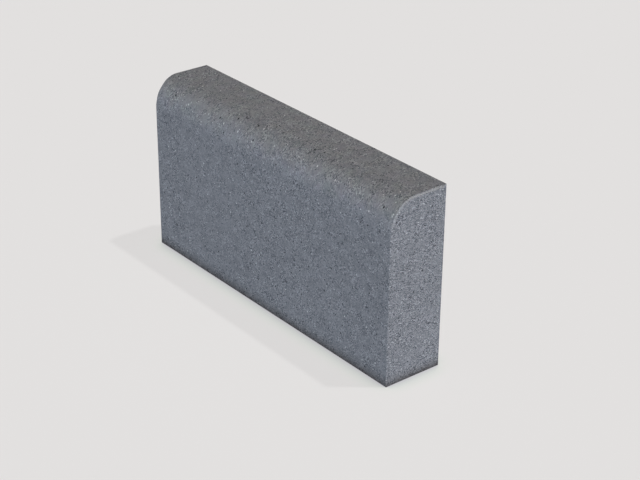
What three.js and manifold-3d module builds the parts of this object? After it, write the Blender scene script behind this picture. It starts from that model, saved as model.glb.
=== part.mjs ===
// Concrete kerb stone with a bullnose, cast in one piece.
//
// Millimetres, +Z up. The stone stands on its bed, as it is laid, with the bullnose at the top of
// the front face. X runs along the kerb, -Y is the front (road) side and +Y the back (path) side.
// The origin is the centre of the bed.

import * as THREE from 'three';
import { mergeVertices } from 'three/addons/utils/BufferGeometryUtils.js';
import Module from 'manifold-3d';

// Overall size
const LENGTH = 600; // end face to end face
const HEIGHT = 305; // bed to top face
const WIDTH = 105; // front face to back face

// Bullnose: a quarter of an ellipse that joins the front face to the top face
const NOSE_RUN = 44; // reach back over the top face, from the front face
const NOSE_DROP = 52; // reach down the front face, from the top face
const NOSE_DIVISIONS = 14; // the curve takes two facets for each

// Arrises, the eased edges that the mould leaves
const END_ARRIS = 1; // radius of the rounding all the way round each end face
const END_ARRIS_STEPS = 3; // facets across that rounding
const LONG_ARRIS = 0.8; // leg of the small bevel on the three straight long edges

const FRONT = -WIDTH / 2;
const BACK = WIDTH / 2;

// Extruded shapes are drawn with x across the kerb and y up, and grow along z.
// This turns them so that they grow along X and stand upright.
const SECTION_TO_KERB = new THREE.Matrix4().makeBasis(
  new THREE.Vector3(0, 1, 0),
  new THREE.Vector3(0, 0, 1),
  new THREE.Vector3(1, 0, 0),
);

const wasm = await Module();
wasm.setup();

/** The kerb's cross-section, anticlockwise from the foot of the front face. */
function kerbSection() {
  const section = new THREE.Shape();
  section.moveTo(FRONT, 0);
  section.lineTo(BACK, 0);
  section.lineTo(BACK, HEIGHT);
  section.lineTo(FRONT + NOSE_RUN, HEIGHT);
  section.absellipse(
    FRONT + NOSE_RUN, HEIGHT - NOSE_DROP,
    NOSE_RUN, NOSE_DROP,
    Math.PI / 2, Math.PI,
  );
  return section;
}

/** The section carried along the kerb, drawn in at each end by the rounded end arris. */
function kerbBody() {
  const geometry = new THREE.ExtrudeGeometry(kerbSection(), {
    depth: LENGTH - 2 * END_ARRIS,
    curveSegments: NOSE_DIVISIONS,
    bevelThickness: END_ARRIS,
    bevelSize: END_ARRIS,
    bevelOffset: -END_ARRIS,
    bevelSegments: END_ARRIS_STEPS,
  });
  geometry.translate(0, 0, END_ARRIS - LENGTH / 2);
  return toSolid(geometry);
}

/**
 * The triangular prism that a bevelled long edge loses, a little longer than the kerb.
 * (y, z) is the edge, and (inwardY, inwardZ) are +1 or -1, pointing from it into the concrete.
 */
function arrisCutter(y, z, inwardY, inwardZ) {
  // The prism reaches as far outside the faces as inside, so no cut runs along a face.
  const inside = 2 * LONG_ARRIS;
  const outside = -LONG_ARRIS;
  const corners = [
    new THREE.Vector2(y + inwardY * outside, z + inwardZ * outside),
    new THREE.Vector2(y + inwardY * inside, z + inwardZ * outside),
    new THREE.Vector2(y + inwardY * outside, z + inwardZ * inside),
  ];
  const geometry = new THREE.ExtrudeGeometry(new THREE.Shape(corners), {
    depth: LENGTH + 2 * LONG_ARRIS,
    bevelEnabled: false,
  });
  geometry.translate(0, 0, -LENGTH / 2 - LONG_ARRIS);
  return toSolid(geometry);
}

/** A closed three.js geometry as a solid, turned upright. */
function toSolid(geometry) {
  geometry.applyMatrix4(SECTION_TO_KERB);
  geometry.deleteAttribute('normal');
  geometry.deleteAttribute('uv');
  const merged = mergeVertices(geometry);
  return new wasm.Manifold(new wasm.Mesh({
    numProp: 3,
    vertProperties: merged.attributes.position.array,
    triVerts: merged.index.array,
  }));
}

/** A solid as a three.js geometry, with flat facets. */
function toGeometry(solid) {
  const mesh = solid.getMesh();
  const geometry = new THREE.BufferGeometry();
  geometry.setAttribute('position', new THREE.BufferAttribute(mesh.vertProperties, 3));
  geometry.setIndex(new THREE.BufferAttribute(mesh.triVerts, 1));
  geometry.computeVertexNormals();
  return geometry;
}

const bevelledEdges = [
  arrisCutter(FRONT, 0, 1, 1), // foot of the front face
  arrisCutter(BACK, 0, -1, 1), // foot of the back face
  arrisCutter(BACK, HEIGHT, -1, -1), // top of the back face
];

const stone = bevelledEdges.reduce((solid, cutter) => solid.subtract(cutter), kerbBody());

const concrete = new THREE.MeshStandardMaterial({
  name: 'concrete',
  color: 0x70757f,
  roughness: 0.88,
  metalness: 0,
});

const kerbStone = new THREE.Mesh(toGeometry(stone), concrete);
kerbStone.name = 'kerb_stone';

const kerb = new THREE.Group();
kerb.name = 'concrete_kerb_stone';
kerb.add(kerbStone);

export default kerb;
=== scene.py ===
"""Looks of the concrete kerb stone: its cast surface, its concrete, and a plain studio to see it in.

Units are metres in the row frame: X along the kerb, -Y the front (road) side, +Y the back (path)
side, +Z up, with the origin at the centre of the bed.
"""

import logging
import math
from dataclasses import dataclass
from enum import Enum
from functools import reduce

import bpy
import numpy as np
from mathutils import Matrix
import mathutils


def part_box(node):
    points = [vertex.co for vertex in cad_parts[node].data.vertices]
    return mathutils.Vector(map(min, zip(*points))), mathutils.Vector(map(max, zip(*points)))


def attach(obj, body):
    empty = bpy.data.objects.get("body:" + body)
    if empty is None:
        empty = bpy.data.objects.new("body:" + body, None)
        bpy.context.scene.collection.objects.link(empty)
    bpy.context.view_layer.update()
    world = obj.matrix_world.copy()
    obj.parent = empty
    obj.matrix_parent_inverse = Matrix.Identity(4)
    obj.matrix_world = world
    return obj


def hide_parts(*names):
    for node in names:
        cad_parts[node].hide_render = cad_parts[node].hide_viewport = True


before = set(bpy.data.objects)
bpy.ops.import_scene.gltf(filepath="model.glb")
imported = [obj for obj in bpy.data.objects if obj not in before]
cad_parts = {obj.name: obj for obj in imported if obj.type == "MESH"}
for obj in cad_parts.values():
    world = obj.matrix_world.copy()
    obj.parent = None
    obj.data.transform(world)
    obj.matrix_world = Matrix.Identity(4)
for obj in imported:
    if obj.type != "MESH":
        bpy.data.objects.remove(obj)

log = logging.getLogger("kerb_stone")

MM = 0.001
BODY = "root"
CAD_NODE = "kerb_stone"
PIECE = "cast_kerb"
BAKE_MAP = "OFBake"
GRAIN_MAP = "grain_map"  # corner attribute: where each corner lies on the unrolled grain, in metres

NOISE_TABLE = 4096  # random values that a lattice noise draws on, a power of two
LATTICE_SHIFT = 1000.0  # cells that move every point of the stone to positive lattice numbers
LATTICE_PRIMES = (73856093, 19349663, 83492791)
NODE_STEP = 180  # how far apart the nodes are laid out in the editor
SEEN_RAYS = ("Is Camera Ray", "Is Glossy Ray", "Is Transmission Ray")

Colour = tuple[float, float, float]
Vector = tuple[float, float, float]
Socket = bpy.types.NodeSocket


# --- Small numeric helpers


def smoothstep(low: float, high: float, value: np.ndarray) -> np.ndarray:
    """An S-shaped ramp: 0 below low, 1 above high, and 3t^2 - 2t^3 where t runs from 0 to 1 between."""
    t = np.clip((value - low) / (high - low), 0.0, 1.0)
    return t * t * (3.0 - 2.0 * t)


def running_sum(steps: np.ndarray) -> np.ndarray:
    """The running sum of the steps, from 0."""
    return np.concatenate([[0.0], np.cumsum(steps)])


def step_lengths(line: np.ndarray) -> np.ndarray:
    """How long each step is along a line of points."""
    return np.linalg.norm(np.diff(line, axis=0), axis=1)


def eased_steps(count: int, first: float = 0.35, growth: float = 0.22) -> np.ndarray:
    """Stations from 0 to 1 whose steps are short at both ends and grow to one even length.

    Step i has the weight min(1, first + growth * steps from the nearer end), and the stations are
    the running sum of the weights over their total.

    Args:
        count: how many steps to take.
        first: weight of the first and last step, against 1 for the even ones.
        growth: how much each next step gains.

    Returns:
        count + 1 stations.
    """
    index = np.arange(count)
    from_end = np.minimum(index, count - 1 - index)
    weights = np.minimum(1.0, first + growth * from_end)
    return running_sum(weights) / weights.sum()


def lattice_noise(points: np.ndarray, cell: float, seed: int) -> np.ndarray:
    """Smooth random field: random values at the corners of a cubic lattice, blended in between.

    Each point takes the values at the eight corners of its cell, weighted along each axis by
    3t^2 - 2t^3 of its place in the cell. A corner picks its value from a table by its three whole
    numbers, each times a prime, joined bit by bit.

    Args:
        points: places, one row each.
        cell: edge of a lattice cell.
        seed: picks another field.

    Returns:
        A value from 0 to 1 for each point.
    """
    table = np.random.default_rng(seed).random(NOISE_TABLE)
    scaled = points / cell + LATTICE_SHIFT
    corner = np.floor(scaled).astype(np.int64)
    t = smoothstep(0.0, 1.0, scaled - corner)
    total = np.zeros(len(points))
    for bits in range(8):
        step = np.array([bits & 1, bits >> 1 & 1, bits >> 2 & 1])
        x, y, z = ((corner + step) * LATTICE_PRIMES).T
        weight = np.prod(np.where(step, t, 1.0 - t), axis=1)
        total += weight * table[(x ^ y ^ z) & (NOISE_TABLE - 1)]
    return total


def cell_corners(grid: np.ndarray, rows_first: bool = False) -> np.ndarray:
    """The corners of each cell of a grid, in turn round the cell from its lowest row and column.

    Args:
        grid: values by row and column.
        rows_first: whether the turn goes to the next row first, and not to the next column.

    Returns:
        The values by row, column and corner.
    """
    next_column, next_row = grid[:-1, 1:], grid[1:, :-1]
    second, fourth = (next_row, next_column) if rows_first else (next_column, next_row)
    return np.stack([grid[:-1, :-1], second, grid[1:, 1:], fourth], axis=2)


def point_normals(points: np.ndarray, quads: np.ndarray) -> np.ndarray:
    """Unit normals at the points: the sum of the cross products of the diagonals of their quads.

    Args:
        points: the surface's points, one row each.
        quads: its quads, as point numbers.

    Returns:
        A normal for each point.
    """
    a, b, c, d = (points[quads[:, k]] for k in range(4))
    face = np.cross(c - a, d - b)
    total = np.zeros_like(points)
    for k in range(4):
        np.add.at(total, quads[:, k], face)
    return total / np.linalg.norm(total, axis=1, keepdims=True)


# --- Scene helpers


def add_object(name: str, data: bpy.types.ID) -> bpy.types.Object:
    """Puts a new object that shows the data into the scene.

    Args:
        name: the object's name.
        data: its mesh, lamp or camera.

    Returns:
        The object.
    """
    item = bpy.data.objects.new(name, data)
    bpy.context.scene.collection.objects.link(item)
    return item


def facing(azimuth: float, elevation: float, roll: float = 0.0) -> Matrix:
    """The turn of a lamp or camera that looks at the stone.

    Its back points along (sin a cos e, -cos a cos e, sin e) for azimuth a and elevation e, and its
    right lies level. Right and up then turn round the back by the roll.

    Args:
        azimuth: degrees round from the front (-Y) towards the right end (+X).
        elevation: degrees above the floor.
        roll: degrees that right turns towards up.

    Returns:
        A matrix whose columns are right, up and back.
    """
    a, e, r = math.radians(azimuth), math.radians(elevation), math.radians(roll)
    back = np.array([math.sin(a) * math.cos(e), -math.cos(a) * math.cos(e), math.sin(e)])
    right = np.cross([0.0, 0.0, 1.0], back)
    right /= np.linalg.norm(right)
    up = np.cross(back, right)
    columns = [math.cos(r) * right + math.sin(r) * up, math.cos(r) * up - math.sin(r) * right, back]
    return Matrix(np.stack(columns, axis=1).tolist()).to_4x4()


def rgba(colour: Colour) -> tuple[float, float, float, float]:
    """The colour with full opacity, as a colour socket wants it."""
    return (*colour, 1.0)


# --- Node materials


@dataclass(frozen=True)
class Ramp:
    """A smooth step: start where a number is low or less, and end where it is high or more."""

    low: float
    high: float
    start: float = 0.0
    end: float = 1.0


def spread(reach: float) -> Ramp:
    """Spreads a noise, which mostly stays between 0.3 and 0.7, over minus reach to plus reach."""
    return Ramp(0.3, 0.7, -reach, reach)


class NodeBench:
    """Adds and joins the nodes of one material or world."""

    def __init__(self, tree: bpy.types.NodeTree) -> None:
        """Takes an empty node tree to work on."""
        self.tree = tree

    def add(
        self, kind: str, settings: dict | None = None, in_order: tuple = (), **inputs: object
    ) -> bpy.types.Node:
        """Adds a node, sets it up and joins it to what feeds it.

        Args:
            kind: the node's type name.
            settings: properties of the node itself.
            in_order: what feeds its first inputs, each a socket to link or a plain value.
            **inputs: the same for inputs by name, with _ for a blank.

        Returns:
            The new node.
        """
        node = self.tree.nodes.new(kind)
        node.location.x = NODE_STEP * len(self.tree.nodes)
        for name, value in (settings or {}).items():
            setattr(node, name, value)
        for socket, value in zip(node.inputs, in_order):
            self.feed(socket, value)
        for name, value in inputs.items():
            self.feed(node.inputs[name.replace("_", " ")], value)
        return node

    def feed(self, socket: Socket, value: object) -> None:
        """Links the value to the socket if it is a socket itself, and otherwise sets it.

        Args:
            socket: the input to feed.
            value: a socket or a plain value.
        """
        if isinstance(value, Socket):
            self.tree.links.new(value, socket)
        else:
            socket.default_value = value

    def maths(self, operation: str, a: object, b: object, clamp: bool = False) -> Socket:
        """One step of arithmetic on two numbers or sockets. Clamp holds the result between 0 and 1."""
        return self.add("ShaderNodeMath", {"operation": operation, "use_clamp": clamp}, (a, b)).outputs[0]

    def product(self, *values: object) -> Socket:
        """Multiplies numbers or sockets with each other."""
        return reduce(lambda a, b: self.maths("MULTIPLY", a, b), values)

    def total(self, *values: object) -> Socket:
        """Adds numbers or sockets to each other."""
        return reduce(lambda a, b: self.maths("ADD", a, b), values)

    def ramp(self, value: object, ramp: Ramp) -> Socket:
        """Runs a number or socket through a smooth step."""
        numbers = (value, ramp.low, ramp.high, ramp.start, ramp.end)
        return self.add("ShaderNodeMapRange", {"interpolation_type": "SMOOTHSTEP"}, numbers).outputs["Result"]

    def blend(self, factor: object, a: object, b: object, how: str = "MIX") -> Socket:
        """Blends two colours.

        Args:
            factor: how much of the blend shows, from 0 to 1.
            a: colour below.
            b: colour laid over it.
            how: the Mix node's blend type.

        Returns:
            The socket with the blended colour.
        """
        node = self.add("ShaderNodeMix", {"data_type": "RGBA", "blend_type": how}, (factor,))
        sockets = [s for s in node.inputs if s.type == "RGBA"]
        self.feed(sockets[0], a)
        self.feed(sockets[1], b)
        return next(s for s in node.outputs if s.type == "RGBA")

    def multiply(self, a: object, b: object) -> Socket:
        """Multiplies one colour by another."""
        return self.blend(1.0, a, b, "MULTIPLY")

    def scale(self, colour: Socket, factor: Socket) -> Socket:
        """Multiplies a colour by a number."""
        return self.add("ShaderNodeVectorMath", {"operation": "SCALE"}, (colour,), Scale=factor).outputs[0]

    def noise(self, place: Socket, size: float, detail: float) -> bpy.types.NodeOutputs:
        """Smooth noise with features of this size and so many finer layers, as Fac and as Color."""
        return self.add("ShaderNodeTexNoise", Vector=place, Scale=1 / size, Detail=detail).outputs

    def cells(self, place: Socket, size: float) -> tuple[Socket, bpy.types.NodeOutputs]:
        """Cells of this size: how far a place is from the cell's point, and the cell's three chances."""
        cells = self.add("ShaderNodeTexVoronoi", Vector=place, Scale=1 / size).outputs
        return cells["Distance"], self.add("ShaderNodeSeparateColor", Color=cells["Color"]).outputs

    def part(self, place: Socket, axis: str) -> Socket:
        """One coordinate, X, Y or Z, of a place."""
        return self.add("ShaderNodeSeparateXYZ", Vector=place).outputs[axis]

    def mix_shaders(self, factor: Socket, a: bpy.types.Node, b: bpy.types.Node) -> Socket:
        """Mixes two shaders, a where the factor is 0 and b where it is 1."""
        return self.add("ShaderNodeMixShader", None, (factor, a.outputs[0], b.outputs[0])).outputs[0]


def fresh_material(name: str) -> tuple[bpy.types.Material, NodeBench]:
    """A new material with no nodes, and the bench that builds them.

    Args:
        name: the material's name.

    Returns:
        The material and its bench.
    """
    material = bpy.data.materials.new(name)
    material.use_nodes = True
    material.node_tree.nodes.clear()
    return material, NodeBench(material.node_tree)


class Mark(Enum):
    """Point attributes that the stone's mesh carries for its concrete."""

    UPWARD = "upward"  # 1 where the surface faces up, 0 where it is upright
    END_FACE = "end_face"  # 1 on the two end faces, 0 on the long sides
    FROM_ARRIS = "from_arris"  # metres from the end arris, positive along the kerb
    ARRIS_UP = "arris_up"  # how far up the nearest stretch of the outline faces, 0 to 1
    ON_ARRIS = "on_arris"  # 1 half-way round the rounding of the end arris, 0 off it
    OPENNESS = "openness"  # how strongly the grain shows along the stone, about 1


@dataclass(frozen=True)
class ConcreteFinish:
    """Cool grey cast concrete with a sandy grain, small dark and pale specks and painted shade at its foot.

    A ramp "over" a mark runs from one value of that mark to another.
    """

    # Sand and paste
    dark_sand: Colour = (0.048, 0.0555, 0.071)
    pale_sand: Colour = (0.267, 0.286, 0.3285)
    sand_size: float = 1.35 * MM
    fine_size: float = 1.1 * MM
    fine_share: float = 0.4
    sand_contrast: float = 1.2
    nose_contrast: float = -0.26
    end_contrast: float = 1.12
    patch_size: float = 16 * MM
    patches: Ramp = Ramp(0.35, 0.65, 0.5, 1.5)

    # How strongly the grain shows along X: one stretch has a smoother skin
    open_at: tuple[float, ...] = (
        -300 * MM, -245 * MM, -233 * MM, -67 * MM, -55 * MM, 100 * MM, 130 * MM, 297 * MM, 299 * MM,
    )
    openness: tuple[float, ...] = (1.1, 1.1, 0.82, 0.82, 1.1, 1.1, 0.96, 0.96, 1.0)

    # How closely the grains lie: along the kerb, over UPWARD round the section, and across and up an end
    crowd_along: float = 1.12
    drawn_at: tuple[float, ...] = (0.0, 0.5, 0.8, 1.0)
    drawn_out: tuple[float, ...] = (1.0, 0.65, 0.65, 0.85)
    crowd_end: tuple[float, float] = (1.05, 1.9)

    # Mottle in the tone, a painted light that brightens towards the right end, and drift in the hue
    near_size: float = 14 * MM
    near_mottle: Ramp = spread(0.06)
    wide_size: float = 90 * MM
    wide_mottle: Ramp = spread(0.012)
    painted_light_to_right: Ramp = Ramp(-0.3, 0.3, -0.011, 0.011)
    drift_size: float = 18 * MM
    upright_drift: Ramp = Ramp(0.0, 1.0, 0.015, 0.02)  # over END_FACE
    upper_drift: Ramp = Ramp(0.05, 0.3, 0.0, 0.08)  # over UPWARD

    # Specks and pinholes. Chance picks their cells, and the ends and the nose add to that chance.
    pale_speck: Colour = (0.435, 0.458, 0.499)
    dark_speck: Colour = (0.030, 0.0355, 0.048)
    speck_sizes: tuple[float, ...] = (2.7 * MM, 4.8 * MM)
    speck_core: Ramp = Ramp(0.21, 0.31, 1.0, 0.0)
    pale_cells: Ramp = Ramp(0.9325, 1.0)
    dark_cells: Ramp = Ramp(0.7, 1.0)
    pale_by_end: float = 0.06
    pale_by_nose: float = 0.035
    smaller_by_nose: float = 0.2  # of the dark specks
    # Near-black painted shade inside the pinholes, which the bump dents.
    pinhole_painted_shade: Colour = (0.008, 0.0095, 0.013)
    pinhole_size: float = 4 * MM
    pinhole_core: Ramp = Ramp(0.3, 0.4, 1.0, 0.0)
    pinhole_cells: Ramp = Ramp(0.994, 0.9952)
    holed_by_end: float = 0.005

    # Top and nose, over UPWARD: dust with a painted warm top light, and a painted highlight on the nose
    top_dust_and_light_tint: Colour = (1.08, 1.012, 0.908)
    dust_and_top_light: Ramp = Ramp(0.0, 1.0)
    nose_painted_highlight: float = 0.095
    nose_begins: Ramp = Ramp(0.0, 0.3)
    nose_ends: Ramp = Ramp(0.985, 0.998, 1.0, 0.0)
    nose_fades: Ramp = Ramp(0.62, 1.0, 0.0, 1.35)
    top_begins: Ramp = Ramp(0.985, 0.998, 0.0, 0.35)

    # Foot: painted shade, darker towards the bottom
    foot_painted_shade: Colour = (0.345, 0.305, 0.28)
    foot_height: float = 25 * MM
    foot_fall: float = 1.8
    foot_size: float = 9 * MM
    foot_waver: Ramp = spread(1.5 * MM)
    end_foot: Ramp = Ramp(0.0, 1.0, 1.0, 1.08)  # over END_FACE

    # Tone of the end arrises, with painted light and shade that even out how the lamps light their roundings,
    # and beside them on the nose and top
    arris_painted_light_by_side: Ramp = Ramp(-0.1, 0.1, -0.15, 0.19)  # along X: paler on the right
    arris_front: Ramp = Ramp(-0.04, 0.04, 1.0, 0.0)  # along Y
    arris_upright: Ramp = Ramp(0.0, 1.0, 1.0, 0.0)  # over ARRIS_UP
    arris_painted_shade_on_top: Ramp = Ramp(0.0, 1.0, 0.0, -0.15)  # over ARRIS_UP
    beside_from: Ramp = Ramp(0.2 * MM, 1.5 * MM)
    beside_to: Ramp = Ramp(4 * MM, 8 * MM, 1.0, 0.0)
    beside_above: Ramp = Ramp(0.05, 0.3)  # over UPWARD
    beside_tone: Ramp = Ramp(0.85, 1.0, 0.04, -0.07)  # over UPWARD, from the nose to the top

    # Bare rim of the end faces, where not said otherwise over ARRIS_UP
    bare_paste: Colour = (0.337, 0.334, 0.333)
    cool_paste: Colour = (0.314, 0.334, 0.372)
    paste_warms: Ramp = Ramp(0.7, 1.0)
    rim_size: float = 7 * MM
    rim_waver: Ramp = spread(0.6 * MM)
    rim_inset: Ramp = Ramp(0.9, 1.0, 0.0, 0.9 * MM)
    rim_starts: Ramp = Ramp(0.0, 1.0 * MM)  # over the distance in from the arris
    rim_widens: Ramp = Ramp(0.3, 0.6, -1.5 * MM, -0.7 * MM)
    rim_narrows: Ramp = Ramp(0.8, 1.0, 0.0, 1.0 * MM)
    rim_ends: Ramp = Ramp(2.47 * MM, 5.7 * MM, 1.0, 0.0)  # over the distance in from the arris
    rim_strength: Ramp = Ramp(0.0, 0.5, 0.0, 0.42)
    rim_top_strength: Ramp = Ramp(0.9, 1.0, 0.0, 0.12)
    rim_patches: Ramp = Ramp(0.3, 0.7, 0.8, 1.2)  # over the noise

    # Gloss and relief
    roughness: Ramp = Ramp(0.2, 0.8, 0.9, 0.8)  # over the grain
    sheen: float = 0.1
    bump_strength: float = 0.5
    bump_depth: float = 0.25 * MM

    def draw(self, upward: np.ndarray) -> np.ndarray:
        """How closely the grains lie round the section, from how far each stretch faces up."""
        return np.interp(upward, self.drawn_at, self.drawn_out)

    def open_skin(self, along: np.ndarray) -> np.ndarray:
        """How strongly the grain shows at places along X."""
        return np.interp(along, self.open_at, self.openness)

    def material(self) -> bpy.types.Material:
        """The finish as a node material."""
        return ConcreteNodes(self).build()


class ConcreteNodes:
    """Builds the nodes of a concrete finish. Every number and colour in it is a socket."""

    def __init__(self, finish: ConcreteFinish) -> None:
        """Starts the material, and reads the coordinates and marks that its nodes use.

        Args:
            finish: the colours, sizes and ramps to build with.
        """
        self.look = finish
        self.material, self.bench = fresh_material("cast_concrete")
        self.place = self.bench.add("ShaderNodeTexCoord").outputs["Object"]
        self.grain_place = self.attribute(GRAIN_MAP, "Vector")
        self.mark = {mark: self.attribute(mark.value, "Fac") for mark in Mark}
        self.on_nose = self.nose()

    def attribute(self, name: str, output: str) -> Socket:
        """Reads an attribute of the mesh, as a Vector or as one number, Fac."""
        return self.bench.add("ShaderNodeAttribute", {"attribute_name": name}).outputs[output]

    def nose(self) -> Socket:
        """Where the nose is, from how far the surface faces up.

        Returns:
            1 along the middle of the nose, 0 on the front and the top, and a little less than 0 just
            before the top.
        """
        bench, look, upward = self.bench, self.look, self.mark[Mark.UPWARD]
        above = bench.maths(
            "SUBTRACT", bench.ramp(upward, look.nose_fades), bench.ramp(upward, look.top_begins)
        )
        return bench.maths("SUBTRACT", bench.ramp(upward, look.nose_begins), above)

    def build(self) -> bpy.types.Material:
        """Joins all the nodes.

        Returns:
            The finished material.
        """
        bench, look = self.bench, self.look
        grain, holes = self.grain(), self.pinholes()
        colour = self.specks(self.sand_colour(grain))
        # The pinholes are dented by the bump; their near-black colour is painted shade inside them.
        colour = bench.blend(holes, colour, rgba(look.pinhole_painted_shade))
        bump = bench.add(
            "ShaderNodeBump",
            Strength=look.bump_strength,
            Distance=look.bump_depth,
            Height=bench.maths("SUBTRACT", grain, holes),
        )
        shader = bench.add(
            "ShaderNodeBsdfPrincipled",
            Base_Color=self.weathering_and_painted_light(colour),
            Roughness=bench.ramp(grain, look.roughness),
            Specular_IOR_Level=look.sheen,
            Normal=bump.outputs["Normal"],
        )
        bench.add("ShaderNodeOutputMaterial", Surface=shader.outputs["BSDF"])
        return self.material

    def grain(self) -> Socket:
        """Sand grains of random tone, with a finer roughness over them.

        The contrast is higher on the end faces, and comes and goes in patches.

        Returns:
            The tone of the grain, about 0.5 on average.
        """
        bench, look, place = self.bench, self.look, self.grain_place
        sand = bench.cells(place, look.sand_size)[1][0]
        fine = bench.noise(place, look.fine_size, detail=1.0)["Fac"]
        mixed = bench.total(bench.product(sand, 1.0 - look.fine_share), bench.product(fine, look.fine_share))
        on_end = bench.product(self.mark[Mark.END_FACE], look.end_contrast)
        on_nose = bench.product(self.on_nose, look.nose_contrast)
        contrast = bench.product(
            bench.total(on_end, on_nose, look.sand_contrast),
            bench.ramp(bench.noise(place, look.patch_size, detail=1.0)["Fac"], look.patches),
            self.mark[Mark.OPENNESS],
        )
        return bench.total(bench.product(bench.maths("SUBTRACT", mixed, 0.5), contrast), 0.5)

    def sand_colour(self, grain: Socket) -> Socket:
        """Colour of the sand and paste: the grain over soft mottling at two sizes, with a painted light that
        brightens it towards the right end.

        Args:
            grain: the tone of the grain.

        Returns:
            The colour.
        """
        bench, look, place = self.bench, self.look, self.place
        mottle_and_painted_light = bench.total(
            bench.ramp(bench.noise(place, look.near_size, detail=3.0)["Fac"], look.near_mottle),
            bench.ramp(bench.noise(place, look.wide_size, detail=2.0)["Fac"], look.wide_mottle),
            # Painted light: brighter towards the right end.
            bench.ramp(bench.part(place, "X"), look.painted_light_to_right),
        )
        tone = bench.maths("ADD", grain, mottle_and_painted_light, clamp=True)
        return bench.blend(tone, rgba(look.dark_sand), rgba(look.pale_sand))

    def specks(self, colour: Socket) -> Socket:
        """Adds the coarse pale and dark grains.

        The pale ones are more frequent on the ends and the nose, and the dark ones smaller on the nose.

        Args:
            colour: the colour so far.

        Returns:
            The colour with the specks.
        """
        bench, look, upward = self.bench, self.look, self.mark[Mark.UPWARD]
        curved = bench.product(bench.ramp(upward, look.nose_begins), bench.ramp(upward, look.nose_ends))
        smaller = bench.total(bench.product(curved, look.smaller_by_nose), 1.0)
        more = bench.total(
            bench.product(self.mark[Mark.END_FACE], look.pale_by_end),
            bench.product(curved, look.pale_by_nose),
        )
        for size in look.speck_sizes:
            distance, chance = bench.cells(self.grain_place, size)
            pale_core = bench.ramp(distance, look.speck_core)
            dark_core = bench.ramp(bench.product(distance, smaller), look.speck_core)
            pale = bench.product(pale_core, bench.ramp(bench.total(chance[0], more), look.pale_cells))
            dark = bench.product(dark_core, bench.ramp(chance[1], look.dark_cells))
            colour = bench.blend(pale, colour, rgba(look.pale_speck))
            colour = bench.blend(dark, colour, rgba(look.dark_speck))
        return colour

    def pinholes(self) -> Socket:
        """The rare small holes that air bubbles leave in the skin, more of them on the ends.

        Returns:
            1 in a hole and 0 elsewhere.
        """
        bench, look = self.bench, self.look
        distance, chance = bench.cells(self.grain_place, look.pinhole_size)
        holed = bench.total(chance[2], bench.product(self.mark[Mark.END_FACE], look.holed_by_end))
        return bench.product(bench.ramp(distance, look.pinhole_core), bench.ramp(holed, look.pinhole_cells))

    def weathering_and_painted_light(self, colour: Socket) -> Socket:
        """Tints the top with dust and a painted warm top light, paints a highlight on the nose and shade on
        the foot, pales the worn upper arris of each end, and paints light and shade on the end arrises.

        The painted shade on the foot is (1 - height / foot_height) ^ foot_fall, with a ragged height.

        Args:
            colour: the colour so far.

        Returns:
            The colour with its weathering and painted light and shade.
        """
        bench, look, place = self.bench, self.look, self.place
        # Dust on the top, with a painted warm light that grows as the surface faces up.
        dust_and_top_light = bench.ramp(self.mark[Mark.UPWARD], look.dust_and_top_light)
        colour = bench.blend(dust_and_top_light, colour, rgba(look.top_dust_and_light_tint), "MULTIPLY")
        colour = bench.multiply(colour, self.drift())
        # Painted highlight: the nose is made paler where it turns from the front to the top.
        colour = bench.scale(colour, bench.total(bench.product(self.on_nose, look.nose_painted_highlight), 1.0))
        # Painted shade at the foot: darker towards the bottom up to foot_height, and a little higher on the
        # end faces.
        ragged = bench.ramp(bench.noise(place, look.foot_size, detail=2.0)["Fac"], look.foot_waver)
        taller = bench.ramp(self.mark[Mark.END_FACE], look.end_foot)
        height = bench.product(bench.total(bench.part(place, "Z"), ragged), taller)
        above = bench.maths("DIVIDE", height, look.foot_height, clamp=True)
        foot_shading = bench.maths("POWER", bench.maths("SUBTRACT", 1.0, above), look.foot_fall)
        colour = bench.blend(foot_shading, colour, rgba(look.foot_painted_shade), "MULTIPLY")
        warm = bench.ramp(self.mark[Mark.ARRIS_UP], look.paste_warms)
        paste = bench.blend(warm, rgba(look.cool_paste), rgba(look.bare_paste))
        return bench.scale(bench.blend(self.wear(), colour, paste), self.arris_tone_and_painted_light())

    def drift(self) -> Socket:
        """How the hue drifts over a few centimetres, most of all on the nose and the top.

        Red, green and blue are each 1 + amount * (noise - 0.5), with a noise of their own.

        Returns:
            The factor for the colour.
        """
        bench, look = self.bench, self.look
        noise = bench.noise(self.place, look.drift_size, detail=1.0)["Color"]
        offset = bench.add("ShaderNodeVectorMath", {"operation": "SUBTRACT"}, (noise, (0.5, 0.5, 0.5)))
        amount = bench.total(
            bench.ramp(self.mark[Mark.END_FACE], look.upright_drift),
            bench.ramp(self.mark[Mark.UPWARD], look.upper_drift),
        )
        inputs = (offset.outputs[0], amount, (1.0, 1.0, 1.0))
        return bench.add("ShaderNodeVectorMath", {"operation": "MULTIPLY_ADD"}, inputs).outputs[0]

    def arris_tone_and_painted_light(self) -> Socket:
        """The change of tone on the end arrises, and on the top and nose just beside them.

        On the end arrises this is painted light: a painted highlight on the upright arris between the front
        and the right end, and painted shade on the left one and on the upper arrises.

        Returns:
            The factor for the colour, about 1.
        """
        bench, look = self.bench, self.look
        from_arris, upward, arris_up = (
            self.mark[mark] for mark in (Mark.FROM_ARRIS, Mark.UPWARD, Mark.ARRIS_UP)
        )
        beside = bench.product(
            bench.ramp(from_arris, look.beside_from),
            bench.ramp(from_arris, look.beside_to),
            bench.ramp(upward, look.beside_above),
            bench.ramp(upward, look.beside_tone),
        )
        # Painted highlight on the right front upright arris, painted shade on the left one.
        upright = bench.product(
            bench.ramp(bench.part(self.place, "X"), look.arris_painted_light_by_side),
            bench.ramp(bench.part(self.place, "Y"), look.arris_front),
            bench.ramp(arris_up, look.arris_upright),
        )
        # Painted shade on the upper arrises.
        tone = bench.total(upright, bench.ramp(arris_up, look.arris_painted_shade_on_top))
        return bench.total(bench.product(self.mark[Mark.ON_ARRIS], tone), beside, 1.0)

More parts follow.
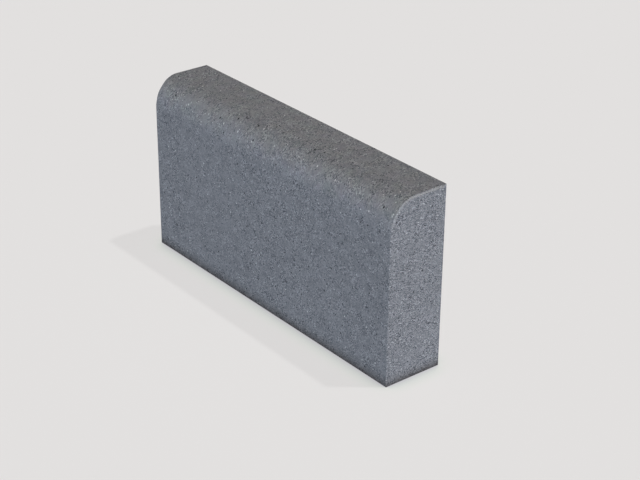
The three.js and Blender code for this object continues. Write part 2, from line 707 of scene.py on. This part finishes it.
    def wear(self) -> Socket:
        """How far the upper rim of each end face is rubbed bare, from 0 to 1.

        It starts at the arris, is a few millimetres wide, fades out where the rim turns upright, and
        comes and goes along its length.

        Returns:
            The strength of the wear.
        """
        bench, look, arris_up = self.bench, self.look, self.mark[Mark.ARRIS_UP]
        inward = bench.product(self.mark[Mark.FROM_ARRIS], -1.0)
        patchy = bench.noise(self.place, look.rim_size, detail=2.0)["Fac"]
        past_start = bench.maths("SUBTRACT", inward, bench.ramp(arris_up, look.rim_inset))
        past_end = bench.total(
            inward,
            bench.ramp(patchy, look.rim_waver),
            bench.ramp(arris_up, look.rim_widens),
            bench.ramp(arris_up, look.rim_narrows),
        )
        band = bench.product(bench.ramp(past_end, look.rim_ends), bench.ramp(past_start, look.rim_starts))
        strength = bench.product(
            bench.total(bench.ramp(arris_up, look.rim_strength), bench.ramp(arris_up, look.rim_top_strength)),
            bench.ramp(patchy, look.rim_patches),
        )
        return bench.maths("MULTIPLY", band, strength, clamp=True)


# --- The stone


class Field(Enum):
    """The random fields of the cast skin, by their seeds."""

    SLOW = 3
    SLOW_DETAIL = 4
    FINE = 5
    CHIPS = 6
    SKIN = 7

    def at(self, points: np.ndarray, cell: float) -> np.ndarray:
        """The field's values, from 0 to 1, with cells of this size."""
        return lattice_noise(points, cell, self.value)


@dataclass
class CastKerb:
    """The kerb stone as one closed cast surface: four long sides and two end faces, welded."""

    low: np.ndarray
    high: np.ndarray
    finish: ConcreteFinish

    # Section
    nose_run: float = 44 * MM
    nose_drop: float = 52 * MM
    end_arris: float = 1 * MM
    long_arris: float = 0.8 * MM
    inner_arris: float = 0.5 * MM

    # Relief
    slow_cell: float = 90 * MM
    slow_detail: float = 0.4
    slow_depth: float = 0.2 * MM
    fine_cell: float = 6 * MM
    fine_depth: float = 0.06 * MM
    chip_cell: float = 7 * MM
    chip_depth: float = 0.8 * MM
    chip_noise: tuple[float, float] = (0.55, 0.95)
    chip_turn: tuple[float, float] = (0.999, 0.93)
    bed_turn: tuple[float, float] = (-0.3, -0.02)
    bed_rise: float = 3 * MM
    skin_cell: float = 45 * MM
    skin_reach: float = 24 * MM
    end_turn: tuple[float, float] = (0.4, 0.9)

    # Steps of the mesh
    nose_split: float = math.radians(45)
    arc_steps: int = 2
    nose_steps: int = 16
    bed_steps: int = 42
    back_steps: int = 124
    length_steps: int = 238
    arris_steps: int = 4

    # Layout of the maps
    map_gap: float = 4 * MM
    map_margin: float = 0.006
    end_grain_shift: float = 1.0

    @property
    def across(self) -> int:
        """Steps across the bed, and so across the top."""
        return self.bed_steps + 2 * self.arc_steps

    @property
    def up(self) -> int:
        """Steps up the back, and so up the front."""
        return self.back_steps + 2 * self.arc_steps

    def outline(self, inset: float, corner: float) -> np.ndarray:
        """The kerb's section, drawn in by an inset, as a closed ring of points.

        The ring runs from the middle of the front foot arris along the bed, up the back, along the
        top, over the nose and down the front. The nose is the ellipse (run cos a, drop sin a), moved
        in along its own normal. The other corners are arcs.

        Args:
            inset: how far the whole outline is drawn in.
            corner: radius of the three plain corners.

        Returns:
            One row (y, z) for each point.
        """
        front, foot = self.low[1] + inset, self.low[2] + inset
        back, top = self.high[1] - inset, self.high[2] - inset

        def arc(y: float, z: float, start: float) -> np.ndarray:
            """An eighth of a circle round (y, z), from start degrees, without its last point."""
            a = np.radians(start + 45 * np.arange(self.arc_steps) / self.arc_steps)
            return np.stack([y + corner * np.cos(a), z + corner * np.sin(a)], axis=1)

        def straight(start: tuple[float, float], end: tuple[float, float], steps: int) -> np.ndarray:
            """A straight run of eased steps, without its last point."""
            t = eased_steps(steps)[:-1, None]
            return np.array(start) * (1 - t) + np.array(end) * t

        def nose(start: float, end: float) -> np.ndarray:
            """A stretch of the nose between two angles above the front, without its last point.

            Args:
                start: first angle.
                end: last angle.

            Returns:
                One row (y, z) for each point.
            """
            a = start + (end - start) * np.arange(self.nose_steps) / self.nose_steps
            y = self.low[1] + self.nose_run * (1 - np.cos(a))
            z = self.high[2] - self.nose_drop * (1 - np.sin(a))
            normal = np.stack([-np.cos(a) / self.nose_run, np.sin(a) / self.nose_drop], axis=1)
            normal /= np.linalg.norm(normal, axis=1, keepdims=True)
            return np.stack([y, z], axis=1) - inset * normal

        nose_back, nose_foot = self.low[1] + self.nose_run, self.high[2] - self.nose_drop
        top_steps = self.bed_steps + self.arc_steps - self.nose_steps
        front_steps = self.back_steps + self.arc_steps - self.nose_steps
        return np.concatenate([
            arc(front + corner, foot + corner, 225),
            straight((front + corner, foot), (back - corner, foot), self.bed_steps),
            arc(back - corner, foot + corner, 270),
            arc(back - corner, foot + corner, 315),
            straight((back, foot + corner), (back, top - corner), self.back_steps),
            arc(back - corner, top - corner, 0),
            arc(back - corner, top - corner, 45),
            straight((back - corner, top), (nose_back, top), top_steps),
            nose(math.pi / 2, self.nose_split),
            nose(self.nose_split, 0.0),
            straight((front, nose_foot), (front, foot + corner), front_steps),
            arc(front + corner, foot + corner, 180),
        ])

    def sleeve(self) -> np.ndarray:
        """The long sides with the rounded end arrises: the section carried along X.

        Between the arrises the section is whole. Over an arris it shrinks from the whole outline P
        to the drawn-in one Q as Q + (P - Q) cos a, while x moves out by r sin a, a quarter turn.

        Returns:
            Points as an array of rows along X by ring points by 3.
        """
        whole = self.outline(0.0, self.long_arris)
        drawn_in = self.outline(self.end_arris, self.inner_arris)
        turn = np.radians(np.linspace(0, 90, self.arris_steps + 1))
        start, end = self.low[0] + self.end_arris, self.high[0] - self.end_arris
        x = np.concatenate([
            start - self.end_arris * np.sin(turn[:0:-1]),
            start + (end - start) * eased_steps(self.length_steps),
            end + self.end_arris * np.sin(turn[1:]),
        ])
        share = np.concatenate([np.cos(turn[:0:-1]), np.ones(self.length_steps + 1), np.cos(turn[1:])])
        ring = drawn_in + share[:, None, None] * (whole - drawn_in)
        along = np.broadcast_to(x[:, None, None], (*ring.shape[:2], 1))
        return np.concatenate([along, ring], axis=2)

    def edges(self, ring: np.ndarray) -> tuple[np.ndarray, np.ndarray, np.ndarray, np.ndarray]:
        """Cuts a closed ring into the four edges of an end face.

        Args:
            ring: one row for each point, with the first repeated at the end.

        Returns:
            The bed and the top, from the front to the back, and the front and the back, going up.
        """
        a, u = self.across, self.up
        top, front = ring[a + u : 2 * a + u + 1][::-1], ring[2 * a + u :][::-1]
        return ring[: a + 1], top, front, ring[a : a + u + 1]

    def end_patch(self, ring: np.ndarray) -> np.ndarray:
        """An end face as a Coons patch: its four edges blended across, less the corner blend.

        Args:
            ring: the closed ring that bounds the face.

        Returns:
            Points as an array of steps across by steps up by 3.
        """
        bed, top, front, back = self.edges(np.concatenate([ring, ring[:1]]))

        def stations(one: np.ndarray, other: np.ndarray) -> np.ndarray:
            """Mean of how far along two facing edges their points lie, from 0 to 1."""
            runs = [running_sum(step_lengths(edge)) for edge in (one, other)]
            return sum(run / run[-1] for run in runs) / 2

        s = stations(bed, top)[:, None, None]
        t = stations(front, back)[None, :, None]
        across = (1 - s) * front[None] + s * back[None]
        upward = (1 - t) * bed[:, None] + t * top[:, None]
        lower = (1 - s) * (1 - t) * bed[0] + s * (1 - t) * bed[-1]
        return across + upward - (lower + (1 - s) * t * top[0] + s * t * top[-1])

    def surface(self) -> tuple[np.ndarray, np.ndarray, np.ndarray, np.ndarray]:
        """The clean closed surface, before any wear.

        Returns:
            The points, the quads as point numbers, and the quads' corners on the bake map and on the
            grain map.
        """
        sleeve = self.sleeve()
        rows, around = sleeve.shape[:2]
        number = np.arange(rows * around).reshape(rows, around)
        number = np.concatenate([number, number[:, :1]], axis=1)
        points = [sleeve.reshape(-1, 3)]
        quads = [cell_corners(number)]
        maps = [self.unrolled(sleeve)]
        grains = [self.sleeve_grain(sleeve)]
        used = rows * around
        for row, left in ((0, True), (rows - 1, False)):
            patch = self.end_patch(sleeve[row])
            inner = patch[1:-1, 1:-1]
            count = inner.shape[0] * inner.shape[1]
            grid = np.empty(patch.shape[:2], int)
            grid[1:-1, 1:-1] = used + np.arange(count).reshape(inner.shape[:2])
            grid[:, 0], grid[:, -1], grid[0, :], grid[-1, :] = self.edges(number[row])
            used += count
            points.append(inner.reshape(-1, 3))
            places = (grid, self.end_map(patch, left), self.end_grain(patch))
            for kept, place in zip((quads, maps, grains), places):
                corners = cell_corners(place, rows_first=True)
                kept.append(corners[:, :, ::-1] if left else corners)
        return (
            np.concatenate(points),
            np.concatenate([q.reshape(-1, 4) for q in quads]),
            np.concatenate([m.reshape(-1, 4, 2) for m in maps]),
            np.concatenate([g.reshape(-1, 4, 3) for g in grains]),
        )

    def unrolled(
        self, sleeve: np.ndarray, along: float = 1.0, around: np.ndarray | float = 1.0
    ) -> np.ndarray:
        """The sleeve unrolled flat: run along X against run round the section, in metres.

        Args:
            sleeve: the sleeve's points.
            along: scale of the run along X.
            around: scale of each step round the section.

        Returns:
            A corner position for each quad corner of the sleeve.
        """
        middle = sleeve[len(sleeve) // 2]
        round_run = running_sum(step_lengths(np.concatenate([middle, middle[:1]])) * around)
        long_run = running_sum(step_lengths(sleeve[:, len(middle) // 4])) * along
        return cell_corners(np.stack(np.meshgrid(long_run, round_run, indexing="ij"), axis=-1))

    def sleeve_grain(self, sleeve: np.ndarray) -> np.ndarray:
        """Where the sleeve lies on the grain: unrolled, with the grains drawn out round the nose.

        Args:
            sleeve: the sleeve's points.

        Returns:
            A corner position (x, y, z) for each quad corner of the sleeve, in metres.
        """
        middle = sleeve[len(sleeve) // 2]
        step = np.roll(middle, -1, axis=0) - middle
        upward = -step[:, 1] / np.linalg.norm(step, axis=1)
        flat = self.unrolled(sleeve, self.finish.crowd_along, self.finish.draw(upward))
        return np.concatenate([flat, np.zeros((*flat.shape[:-1], 1))], axis=-1)

    def end_grain(self, patch: np.ndarray) -> np.ndarray:
        """Where an end face's points lie on the grain: flat, crowded up the face, clear of the sleeve."""
        crowded = patch[..., [1, 2, 0]] * np.array([*self.finish.crowd_end, 1.0])
        return crowded + np.array([0.0, 0.0, self.end_grain_shift])

    def end_map(self, patch: np.ndarray, lower: bool) -> np.ndarray:
        """An end face laid flat beside the unrolled sleeve, one below the other.

        Args:
            patch: the end face's points.
            lower: whether this is the lower of the two.

        Returns:
            A map position for each point of the patch, in metres.
        """
        length = self.high[0] - self.low[0] + 2 * self.map_gap
        rise = 0.0 if lower else self.high[2] - self.low[2] + self.map_gap
        across = patch[..., 1] - self.low[1]
        return np.stack([length + across, rise + patch[..., 2] - self.low[2]], axis=-1)

    def build(self) -> bpy.types.Object:
        """Makes the mesh object and dresses it.

        Returns:
            The stone, in its place.
        """
        clean, quads, corners, grain = self.surface()
        points = self.relief(clean, quads)
        mesh = bpy.data.meshes.new(PIECE)
        mesh.from_pydata(points.tolist(), [], quads.tolist())
        mesh.polygons.foreach_set("use_smooth", np.ones(len(quads), bool))
        bake = self.map_margin + (1 - 2 * self.map_margin) * corners / corners.reshape(-1, 2).max(0)
        layer = mesh.uv_layers.new(name=BAKE_MAP)
        layer.uv.foreach_set("vector", bake.astype(np.float32).ravel())
        self.mark_surface(mesh, points, quads)
        grain_map = mesh.attributes.new(GRAIN_MAP, "FLOAT_VECTOR", "CORNER")
        grain_map.data.foreach_set("vector", grain.astype(np.float32).ravel())
        mesh.materials.append(self.finish.material())
        mesh.update()
        return add_object(PIECE, mesh)

    def relief(self, points: np.ndarray, quads: np.ndarray) -> np.ndarray:
        """The cast skin: the clean surface moved in along its normals by smooth random depths.

        The depth is the sum of a slow undulation over the whole stone, a fine unevenness of the sandy
        skin, and rubbed spots along the arrises: the square of a noise above its threshold, where the
        surface turns. The bed keeps its plane, and nothing moves outwards.

        Args:
            points: the clean surface's points.
            quads: its quads, as point numbers.

        Returns:
            The moved points.
        """
        normal = point_normals(points, quads)
        detail = self.slow_detail
        slow = Field.SLOW.at(points, self.slow_cell) * (1 - detail)
        slow += Field.SLOW_DETAIL.at(points, detail * self.slow_cell) * detail
        spots = smoothstep(*self.chip_noise, Field.CHIPS.at(points, self.chip_cell)) ** 2
        on_nose = (
            (points[:, 0] > self.low[0] + 2 * self.end_arris)
            & (points[:, 0] < self.high[0] - 2 * self.end_arris)
            & (points[:, 1] < self.low[1] + self.nose_run)
            & (points[:, 2] > self.high[2] - self.nose_drop)
        )
        turning = smoothstep(*self.chip_turn, np.abs(normal).max(axis=1))
        depth = self.slow_depth * slow + self.fine_depth * Field.FINE.at(points, self.fine_cell)
        depth += self.chip_depth * spots * np.where(on_nose, 0.0, turning)
        depth *= smoothstep(*self.bed_turn, normal[:, 2])
        depth *= smoothstep(0.0, self.bed_rise, points[:, 2] - self.low[2])
        return points - depth[:, None] * normal

    def skin_waver(self, points: np.ndarray) -> np.ndarray:
        """How far the borders between smoother and more open skin wander along X, off the end faces."""
        on_sides = np.abs(points[:, 0]) < self.high[0] - self.end_arris
        return self.skin_reach * (Field.SKIN.at(points, self.skin_cell) - 0.5) * on_sides

    def place_in_section(self, points: np.ndarray) -> tuple[np.ndarray, np.ndarray]:
        """How deep points lie inside the section's outline, and how far up the outline there faces.

        Within the nose's corner the depth is (1 - g) / |grad g| for the ellipse g = 1, and elsewhere
        the distance to the nearest of the four straight sides.

        Args:
            points: places on the stone, one row each.

        Returns:
            The depth in metres, and the upward part of the nearest outline's normal, 0 to 1.
        """
        tiny = 1e-9
        y, z = points[:, 1], points[:, 2]
        sides = np.stack([y - self.low[1], self.high[1] - y, z - self.low[2], self.high[2] - z])
        on_top = sides.argmin(axis=0) == 3
        across = (self.low[1] + self.nose_run - y) / self.nose_run
        upward = (z - self.high[2] + self.nose_drop) / self.nose_drop
        in_nose = (across > 0) & (upward > 0)
        g = np.hypot(across, upward)
        slope = np.hypot(across / self.nose_run, upward / self.nose_drop) / np.maximum(g, tiny)
        depth = np.where(in_nose, (1 - g) / np.maximum(slope, tiny), sides.min(axis=0))
        lift = upward / self.nose_drop / np.maximum(slope * g, tiny)
        return depth, np.where(in_nose, lift, on_top.astype(float))

    def mark_surface(self, mesh: bpy.types.Mesh, points: np.ndarray, quads: np.ndarray) -> None:
        """Writes the attributes that the concrete reads.

        With n the part of the normal along X, the rounding of an end arris is marked 4n^2 (1 - n^2).

        Args:
            mesh: the stone's mesh.
            points: its points, one row each.
            quads: its quads, as point numbers.
        """
        normal = point_normals(points, quads)
        depth, facing_up = self.place_in_section(points)
        from_end = np.minimum(points[:, 0] - self.low[0], self.high[0] - points[:, 0])
        values = {
            Mark.UPWARD: np.clip(normal[:, 2], 0, 1),
            Mark.END_FACE: smoothstep(*self.end_turn, np.abs(normal[:, 0])),
            Mark.FROM_ARRIS: from_end - depth,
            Mark.ARRIS_UP: facing_up,
            Mark.ON_ARRIS: 4 * normal[:, 0] ** 2 * (1 - normal[:, 0] ** 2),
            Mark.OPENNESS: self.finish.open_skin(points[:, 0] + self.skin_waver(points)),
        }
        for mark, value in values.items():
            attribute = mesh.attributes.new(mark.value, "FLOAT", "POINT")
            attribute.data.foreach_set("value", value.astype(np.float32))


# --- The studio


@dataclass(frozen=True)
class Lamp:
    """A distant lamp: where it stands, what it gives a surface that faces it, and its tint."""

    name: str
    azimuth: float
    elevation: float
    light: float
    tint: Colour = (1.0, 1.0, 1.0)
    spread: float = 10.0
    shadow: bool = False

    def build(self) -> None:
        """Hangs the lamp. A light of 1 shows white paint that faces it as pure white."""
        data = bpy.data.lights.new(self.name, "SUN")
        data.energy = math.pi * self.light
        data.color = self.tint
        data.angle = math.radians(self.spread)
        data.use_shadow = self.shadow
        add_object(self.name, data).matrix_world = facing(self.azimuth, self.elevation)

    def on_floor(self) -> np.ndarray:
        """What the lamp gives a level floor, for each colour."""
        return self.light * math.sin(math.radians(self.elevation)) * np.array(self.tint)


@dataclass(frozen=True)
class Studio:
    """A plain pale floor and backdrop under soft even light, with one high lamp for the shadow."""

    backdrop: Colour = (0.7605, 0.7454, 0.7379)
    ambient: Colour = (0.069, 0.069, 0.069)
    floor_paint: float = 0.4
    floor_share: float = 0.65
    floor_half: float = 30.0
    sky_samples: int = 16
    contact_reach: float = 40 * MM
    contact_depth: Colour = (0.272, 0.268, 0.212)
    contact_fall: tuple[float, float, float] = (2.3, 3.46, 2.2)
    near_reach: float = 300 * MM
    near_tint: Colour = (0.982, 0.979, 0.971)
    lamps: tuple[Lamp, ...] = (
        Lamp("high_lamp", 141.1, 71.16, 0.256, (1.0, 0.985, 0.973), spread=2.2, shadow=True),
        Lamp("right_lamp", 75.0, 15.0, 0.988, (1.0, 0.984, 0.96)),
        Lamp("left_lamp", -45.0, 5.0, 0.722, (0.901, 0.956, 1.0)),
        Lamp("back_lamp", 165.0, 25.0, 0.527, (1.0, 0.977, 0.968)),
    )

    def floor_light(self) -> np.ndarray:
        """All the light on the level floor, for each colour."""
        return np.array(self.ambient) + sum(lamp.on_floor() for lamp in self.lamps)

    def seen(self, bench: NodeBench) -> Socket:
        """1 for the camera and for what it sees by gloss or through glass, otherwise 0."""
        path = bench.add("ShaderNodeLightPath").outputs
        return bench.maths("MINIMUM", bench.total(*(path[ray] for ray in SEEN_RAYS)), 1.0)

    def build_world(self) -> None:
        """The backdrop that the camera sees, and a weak even light for everything else."""
        world = bpy.data.worlds.new("studio")
        world.use_nodes = True
        world.node_tree.nodes.clear()
        bench = NodeBench(world.node_tree)
        light = bench.add("ShaderNodeBackground", Color=rgba(self.ambient), Strength=1.0)
        shown = bench.add("ShaderNodeBackground", Color=rgba(self.backdrop), Strength=1.0)
        mix = bench.mix_shaders(self.seen(bench), light, shown)
        bench.add("ShaderNodeOutputWorld", Surface=mix)
        bpy.context.scene.world = world

    def hidden_sky(self, bench: NodeBench, reach: float) -> Socket:
        """The share of the sky that a stone within reach hides: 0 in the open, a half beside a wall."""
        open_sky = bench.add("ShaderNodeAmbientOcclusion", {"samples": self.sky_samples}, Distance=reach)
        return bench.maths("SUBTRACT", 1.0, open_sky.outputs["AO"])

    def contact_shade(self, bench: NodeBench) -> Socket:
        """The dark line where the stone meets the floor.

        Each of red, green and blue is 1 - depth * c^fall, where c is twice the hidden share of the
        sky, so that it is 1 at the foot of a wall.

        Args:
            bench: the floor's bench.

        Returns:
            The colour that the floor is multiplied by.
        """
        closed = bench.maths("MULTIPLY", self.hidden_sky(bench, self.contact_reach), 2.0, clamp=True)
        channels = (
            bench.maths("SUBTRACT", 1.0, bench.product(bench.maths("POWER", closed, fall), depth))
            for depth, fall in zip(self.contact_depth, self.contact_fall)
        )
        return bench.add("ShaderNodeCombineColor", None, tuple(channels)).outputs[0]

    def near_shade(self, bench: NodeBench) -> Socket:
        """A faint wide shade that makes up for the light which the stone throws on the floor."""
        hidden = self.hidden_sky(bench, self.near_reach)
        return bench.blend(hidden, rgba((1.0, 1.0, 1.0)), rgba(self.near_tint))

    def floor_material(self) -> bpy.types.Material:
        """The finish of a floor that blends into the backdrop and takes a faint shadow.

        To the camera it is part paint, which takes shadows, and part glow, which makes up the
        backdrop's colour in open light. Close to the stone both are darkened.

        Returns:
            The finished material.
        """
        material, bench = fresh_material("pale_floor")
        paint = np.full(3, self.floor_paint)
        lit = self.floor_share * paint * self.floor_light()
        glow = (np.array(self.backdrop) - lit) / (1 - self.floor_share)
        shade = bench.multiply(self.contact_shade(bench), self.near_shade(bench))
        diffuse = bench.add("ShaderNodeBsdfDiffuse", Color=bench.multiply(rgba(paint), shade))
        emission = bench.add("ShaderNodeEmission", Color=bench.multiply(rgba(glow), shade))
        glowing = bench.product(self.seen(bench), 1 - self.floor_share)
        mix = bench.mix_shaders(glowing, diffuse, emission)
        bench.add("ShaderNodeOutputMaterial", Surface=mix)
        return material

    def build_floor(self) -> None:
        """Lays the level floor under the stone."""
        h = self.floor_half
        mesh = bpy.data.meshes.new("floor")
        mesh.from_pydata([(-h, -h, 0), (h, -h, 0), (h, h, 0), (-h, h, 0)], [], [(0, 1, 2, 3)])
        mesh.materials.append(self.floor_material())
        floor = add_object("floor", mesh)

    def build(self) -> None:
        """Sets up the backdrop, the floor and the lamps."""
        self.build_world()
        self.build_floor()
        for lamp in self.lamps:
            lamp.build()


@dataclass(frozen=True)
class StudioCamera:
    """Where the camera stands and how it is turned."""

    place: Vector = (1.83382, -1.41721, 1.29365)
    azimuth: float = 51.1339
    elevation: float = 27.0688
    roll: float = 0.5047
    lens: float = 91.3226
    sensor: float = 36.0

    def build(self) -> None:
        """Sets up the camera: its back points along azimuth and elevation, and roll turns it on that."""
        data = bpy.data.cameras.new("camera")
        data.lens = self.lens
        data.sensor_width = self.sensor
        camera = add_object("camera", data)
        turn = facing(self.azimuth, self.elevation, self.roll)
        camera.matrix_world = Matrix.Translation(self.place) @ turn
        bpy.context.scene.camera = camera


def main() -> None:
    """Builds the studio and the stone, and says what was made."""
    logging.basicConfig(level=logging.INFO, format="%(name)s: %(message)s")
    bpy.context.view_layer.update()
    bpy.context.scene.view_settings.view_transform = "Standard"
    StudioCamera().build()
    Studio().build()
    low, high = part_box(CAD_NODE)
    stone = CastKerb(np.array(low), np.array(high), ConcreteFinish()).build()
    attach(stone, BODY)
    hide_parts(CAD_NODE)
    log.info("%s: %d faces", stone.name, len(stone.data.polygons))


if __name__ == "__main__":
    main()
